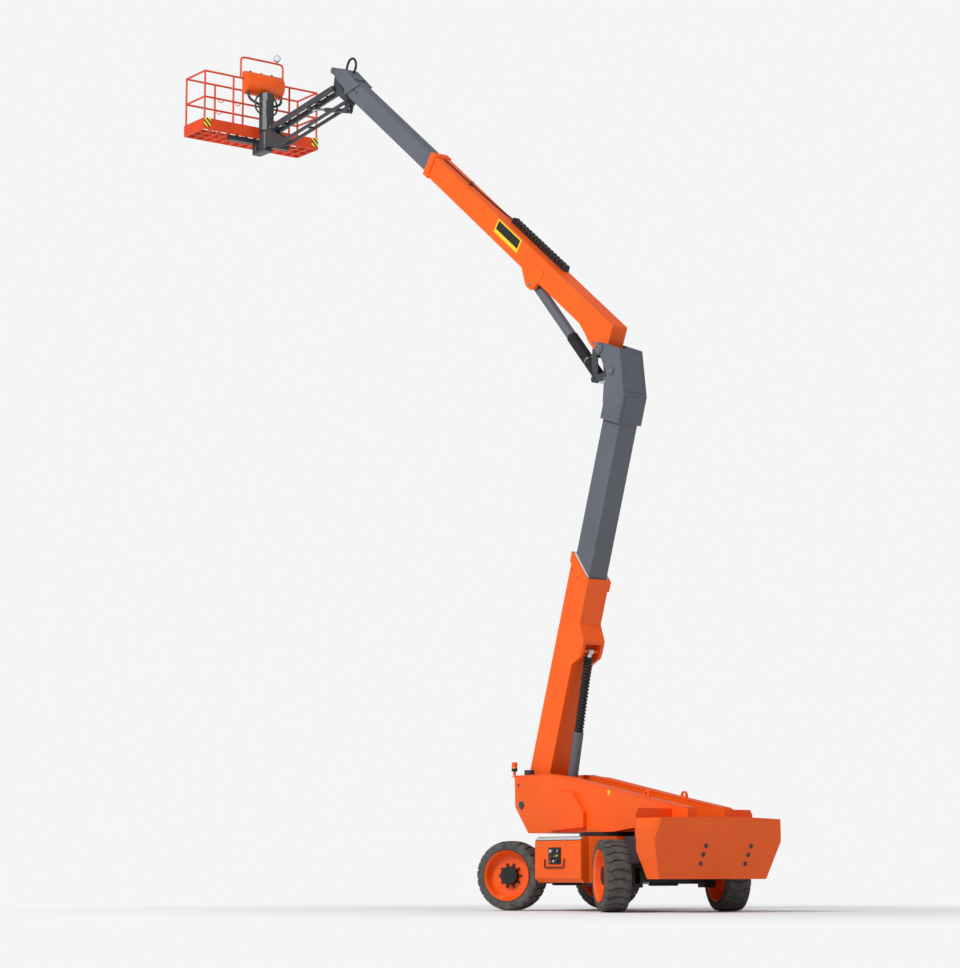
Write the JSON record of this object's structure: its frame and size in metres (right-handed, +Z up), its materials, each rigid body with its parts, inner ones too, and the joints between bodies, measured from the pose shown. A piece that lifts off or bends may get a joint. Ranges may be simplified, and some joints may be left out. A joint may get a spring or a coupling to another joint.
{
  "type": "telescopic boom lift",
  "caption": "Wheeled boom lift: slewing turntable, telescopic lower and upper booms joined by a linked elbow, self-levelling jib and a rotating railed platform.",
  "frame": {"origin": "on the ground, on the turntable's slewing axis", "axes": "+X forward, the way the platform reaches in the picture's pose; +Y to the machine's left; +Z up"},
  "size_m": [13.77, 2.7763, 15.9711],
  "materials": {
    "orange_paint": "satin",
    "grey_paint": "satin",
    "dark_paint": "satin",
    "tyre_rubber": "matte",
    "gaiter_rubber": "matte",
    "hub_iron": "satin",
    "rod_chrome": "polished",
    "weight_iron": "satin",
    "pin_steel": "satin",
    "chain_plastic": "matte",
    "beacon_amber": "gloss",
    "rail_orange": "satin",
    "console_orange": "satin"
  },
  "bodies": {
    "chassis": {"chassis_frame": "grey_paint", "chassis_side_boxes": "orange_paint", "chassis_valve_box": "dark_paint", "axle_front": "dark_paint", "axle_rear": "dark_paint", "slew_ring": "dark_paint"},
    "knuckle_front_left": {"knuckle_front_left": "dark_paint"},
    "wheel_front_left": {"tyre_front_left": "tyre_rubber", "rim_front_left": "orange_paint", "hub_front_left": "hub_iron"},
    "knuckle_front_right": {"knuckle_front_right": "dark_paint"},
    "wheel_front_right": {"tyre_front_right": "tyre_rubber", "rim_front_right": "orange_paint", "hub_front_right": "hub_iron"},
    "knuckle_rear_left": {"knuckle_rear_left": "dark_paint"},
    "wheel_rear_left": {"tyre_rear_left": "tyre_rubber", "rim_rear_left": "orange_paint", "hub_rear_left": "hub_iron"},
    "knuckle_rear_right": {"knuckle_rear_right": "dark_paint"},
    "wheel_rear_right": {"tyre_rear_right": "tyre_rubber", "rim_rear_right": "orange_paint", "hub_rear_right": "hub_iron"},
    "steering_rod_front": {"steering_rod_front": "rod_chrome"},
    "steering_rod_rear": {"steering_rod_rear": "rod_chrome"},
    "turntable": {"turntable": "orange_paint", "counterweight": "weight_iron", "beacon": "beacon_amber"},
    "lower_outer": {"lower_boom_outer": "orange_paint"},
    "lower_barrel": {"lower_cylinder_barrel": "grey_paint"},
    "lower_rod": {"lower_cylinder_rod": "rod_chrome", "lower_cylinder_gaiter": "gaiter_rubber"},
    "lower_inner": {"lower_boom_inner": "grey_paint", "elbow_head": "grey_paint", "elbow_pin": "pin_steel", "coupler_pin": "pin_steel"},
    "coupler": {"elbow_coupler": "dark_paint"},
    "upper_outer": {"upper_boom_outer": "orange_paint", "hose_chain": "chain_plastic", "rocker_pin": "pin_steel"},
    "rocker": {"elbow_rocker": "dark_paint"},
    "elbow_barrel": {"elbow_cylinder_barrel": "grey_paint", "elbow_cylinder_pin": "pin_steel"},
    "elbow_sleeve": {"elbow_cylinder_sleeve": "rod_chrome", "elbow_sleeve_gaiter": "gaiter_rubber"},
    "elbow_rod": {"elbow_cylinder_rod": "rod_chrome", "elbow_cylinder_gaiter": "gaiter_rubber"},
    "upper_inner": {"upper_boom_inner": "grey_paint", "boom_tip": "grey_paint"},
    "jib_bracket": {"jib_bracket": "dark_paint", "levelling_rocker": "dark_paint"},
    "jib_arm": {"jib_arm": "dark_paint"},
    "jib_link": {"jib_link": "dark_paint"},
    "jib_barrel": {"jib_cylinder_barrel": "dark_paint"},
    "jib_rod": {"jib_cylinder_rod": "rod_chrome"},
    "jib_end": {"jib_end": "dark_paint"},
    "platform": {"platform_post": "dark_paint", "platform_floor": "rail_orange", "platform_rails": "rail_orange", "control_console": "console_orange", "guard_hoop": "rail_orange"}
  },
  "joints": [
    {"name": "steer_front_left", "type": "hinge", "parent": "chassis", "child": "knuckle_front_left", "pos_m": [1.3325, 0.778, 0.5285], "axis": [0, 0, 1], "range_deg": [-56, 4]},
    {"name": "roll_front_left", "type": "hinge", "parent": "knuckle_front_left", "child": "wheel_front_left", "pos_m": [1.21239, 1.02427, 0.5285], "axis": [-0.4384, 0.8988, 0], "continuous": true},
    {"name": "steer_front_right", "type": "hinge", "parent": "chassis", "child": "knuckle_front_right", "pos_m": [1.3325, -0.778, 0.5285], "axis": [0, 0, 1], "range_deg": [-56, 4]},
    {"name": "roll_front_right", "type": "hinge", "parent": "knuckle_front_right", "child": "wheel_front_right", "pos_m": [1.42621, -1.03548, 0.5285], "axis": [-0.342, 0.9397, 0], "continuous": true},
    {"name": "steer_rear_left", "type": "hinge", "parent": "chassis", "child": "knuckle_rear_left", "pos_m": [-1.3325, 0.778, 0.5285], "axis": [0, 0, 1], "range_deg": [-4, 56]},
    {"name": "roll_rear_left", "type": "hinge", "parent": "knuckle_rear_left", "child": "wheel_rear_left", "pos_m": [-1.21239, 1.02427, 0.5285], "axis": [0.4384, 0.8988, 0], "continuous": true},
    {"name": "steer_rear_right", "type": "hinge", "parent": "chassis", "child": "knuckle_rear_right", "pos_m": [-1.3325, -0.778, 0.5285], "axis": [0, 0, 1], "range_deg": [-4, 56]},
    {"name": "roll_rear_right", "type": "hinge", "parent": "knuckle_rear_right", "child": "wheel_rear_right", "pos_m": [-1.42621, -1.03548, 0.5285], "axis": [0.342, 0.9397, 0], "continuous": true},
    {"name": "steer_slide_front", "type": "slide", "parent": "chassis", "child": "steering_rod_front", "axis": [0, 1, 0], "range_m": [-0.02, 0.19]},
    {"name": "steer_slide_rear", "type": "slide", "parent": "chassis", "child": "steering_rod_rear", "axis": [0, 1, 0], "range_m": [-0.02, 0.19]},
    {"name": "slew", "type": "hinge", "parent": "chassis", "child": "turntable", "pos_m": [0, 0, 1.18], "axis": [0, 0, 1], "continuous": true},
    {"name": "lower_lift", "type": "hinge", "parent": "turntable", "child": "lower_outer", "pos_m": [1.74, 0, 1.62], "axis": [0, 1, 0], "range_deg": [-67.9, 3]},
    {"name": "lower_extend", "type": "slide", "parent": "lower_outer", "child": "lower_inner", "axis": [-0.319, 0, 0.9478], "range_m": [-2.12, 0.3]},
    {"name": "lower_cylinder_pivot", "type": "hinge", "parent": "turntable", "child": "lower_barrel", "pos_m": [1.175, 0, 1.262], "axis": [0, 1, 0], "range_deg": [-76, 6]},
    {"name": "lower_cylinder_stroke", "type": "slide", "parent": "lower_barrel", "child": "lower_rod", "axis": [-0.2189, 0, 0.9757], "range_m": [-0.76, 0.06], "deforming": ["lower_cylinder_gaiter"]},
    {"name": "upper_lift", "type": "hinge", "parent": "lower_inner", "child": "upper_outer", "pos_m": [-0.01865, 0, 8.67981], "axis": [0, -1, 0], "range_deg": [-108.5, 6]},
    {"name": "upper_extend", "type": "slide", "parent": "upper_outer", "child": "upper_inner", "axis": [0.7859, 0, 0.6184], "range_m": [-2.9, 0.4]},
    {"name": "elbow_coupler_pivot", "type": "hinge", "parent": "lower_inner", "child": "coupler", "pos_m": [-0.32011, 0, 8.27448], "axis": [0, -1, 0], "range_deg": [-51.5, 4]},
    {"name": "elbow_rocker_pivot", "type": "hinge", "parent": "upper_outer", "child": "rocker", "pos_m": [0.22069, 0, 8.8058], "axis": [0, -1, 0], "range_deg": [-6, 106]},
    {"name": "elbow_cylinder_pivot", "type": "hinge", "parent": "upper_outer", "child": "elbow_barrel", "pos_m": [1.86862, 0, 10.04278], "axis": [0, -1, 0], "range_deg": [-3, 1]},
    {"name": "elbow_sleeve_stroke", "type": "slide", "parent": "elbow_barrel", "child": "elbow_sleeve", "axis": [-0.6759, 0, -0.737], "range_m": [-0.58, 0.04], "deforming": ["elbow_sleeve_gaiter"]},
    {"name": "elbow_cylinder_stroke", "type": "slide", "parent": "elbow_sleeve", "child": "elbow_rod", "axis": [-0.6759, 0, -0.737], "range_m": [-0.36, 0.03], "deforming": ["elbow_cylinder_gaiter"]},
    {"name": "jib_level", "type": "hinge", "parent": "upper_inner", "child": "jib_bracket", "pos_m": [7.8168, 0, 15.13583], "axis": [0, -1, 0], "range_deg": [-3, 42]},
    {"name": "jib_lift", "type": "hinge", "parent": "jib_bracket", "child": "jib_arm", "pos_m": [7.88, 0, 14.82], "axis": [0, -1, 0], "range_deg": [-40, 30]},
    {"name": "jib_link_pivot", "type": "hinge", "parent": "jib_bracket", "child": "jib_link", "pos_m": [7.47, 0, 14.47], "axis": [0, -1, 0], "range_deg": [-41, 31]},
    {"name": "jib_cylinder_pivot", "type": "hinge", "parent": "jib_bracket", "child": "jib_barrel", "pos_m": [7.51, 0, 14.32], "axis": [0, -1, 0], "range_deg": [-27, 33]},
    {"name": "jib_cylinder_stroke", "type": "slide", "parent": "jib_barrel", "child": "jib_rod", "axis": [0.9661, 0, 0.258], "range_m": [-0.22, 0.27]},
    {"name": "jib_end_pivot", "type": "hinge", "parent": "jib_arm", "child": "jib_end", "pos_m": [10.00042, 0, 14.57091], "axis": [0, -1, 0], "range_deg": [-31, 41]},
    {"name": "platform_rotate", "type": "hinge", "parent": "jib_end", "child": "platform", "pos_m": [10.37, 0, 14.6], "axis": [0, 0, 1], "range_deg": [-80, 80]}
  ],
  "couplings": [
    {"joint": "steer_front_right", "follows": "steer_front_left", "ratio": 1},
    {"joint": "steer_rear_right", "follows": "steer_rear_left", "ratio": 1},
    {"joint": "steer_slide_front", "follows": "steer_front_left", "m_per_rad": -0.181},
    {"joint": "steer_slide_rear", "follows": "steer_rear_left", "m_per_rad": 0.181},
    {"joint": "lower_cylinder_pivot", "follows": "lower_lift", "ratio": 1.07},
    {"joint": "lower_cylinder_stroke", "follows": "lower_lift", "m_per_rad": 0.613},
    {"joint": "upper_lift", "follows": "lower_lift", "ratio": 1.589},
    {"joint": "elbow_coupler_pivot", "follows": "lower_lift", "ratio": 0.7437},
    {"joint": "elbow_rocker_pivot", "follows": "lower_lift", "ratio": -1.5413},
    {"joint": "elbow_cylinder_pivot", "follows": "lower_lift", "ratio": 0.035},
    {"joint": "elbow_sleeve_stroke", "follows": "lower_lift", "m_per_rad": 0.4817},
    {"joint": "elbow_cylinder_stroke", "follows": "lower_lift", "m_per_rad": 0.2837},
    {"joint": "jib_level", "follows": "lower_lift", "ratio": -0.589},
    {"joint": "jib_link_pivot", "follows": "jib_lift", "ratio": 1},
    {"joint": "jib_end_pivot", "follows": "jib_lift", "ratio": -1},
    {"joint": "jib_cylinder_pivot", "follows": "jib_lift", "ratio": 0.63},
    {"joint": "jib_cylinder_stroke", "follows": "jib_lift", "m_per_rad": 0.3}
  ]
}
